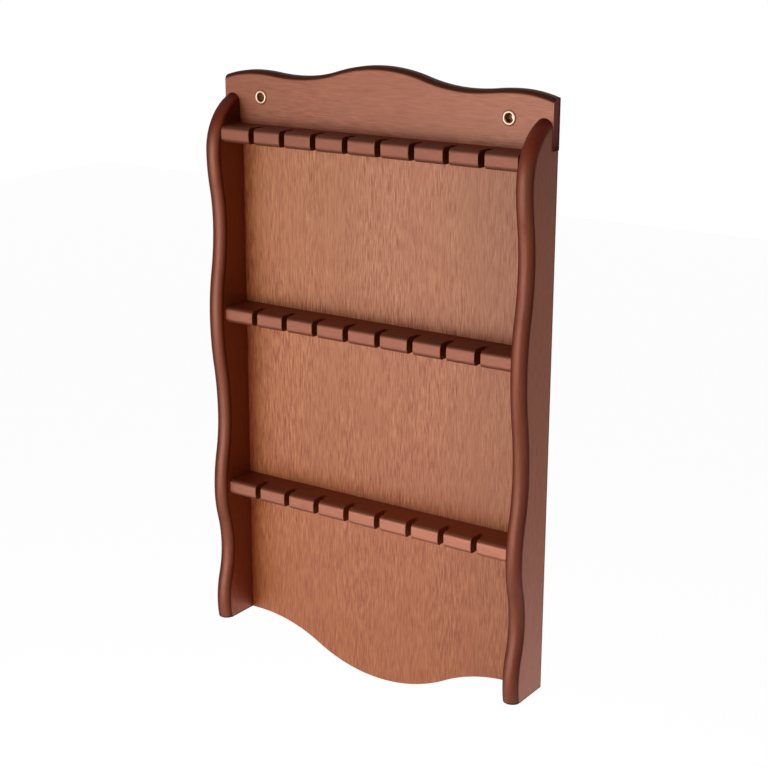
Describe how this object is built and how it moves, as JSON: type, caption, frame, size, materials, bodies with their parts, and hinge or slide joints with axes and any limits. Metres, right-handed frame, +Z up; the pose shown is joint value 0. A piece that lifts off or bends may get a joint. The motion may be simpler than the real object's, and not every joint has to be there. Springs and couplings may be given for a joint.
{
  "type": "souvenir spoon rack",
  "caption": "Wall rack for souvenir teaspoons: slotted rails between waved sides, in front of a thin back panel, hung by eyelets in a shaped header board.",
  "frame": {"origin": "on the wall plane, midway between the two hanging eyelets", "axes": "+X to the right as seen from the front, +Y into the wall, +Z up"},
  "size_m": [0.2496, 0.0348, 0.4233],
  "materials": {
    "header_wood": "satin lacquer over mahogany stain",
    "side_wood": "satin lacquer over mahogany stain",
    "rail_wood": "satin lacquer over mahogany stain",
    "panel_wood": "satin lacquer over stained veneer",
    "brass": "polished",
    "beech": "raw",
    "steel": "zinc plated"
  },
  "bodies": {
    "root": {"header_board": "header_wood", "left_side": "side_wood", "right_side": "side_wood", "back_panel": "panel_wood", "top_rail": "rail_wood", "middle_rail": "rail_wood", "bottom_rail": "rail_wood", "left_eyelet": "brass", "right_eyelet": "brass", "rail_dowels": "beech", "header_screws": "steel", "panel_pins": "steel"}
  },
  "joints": []
}
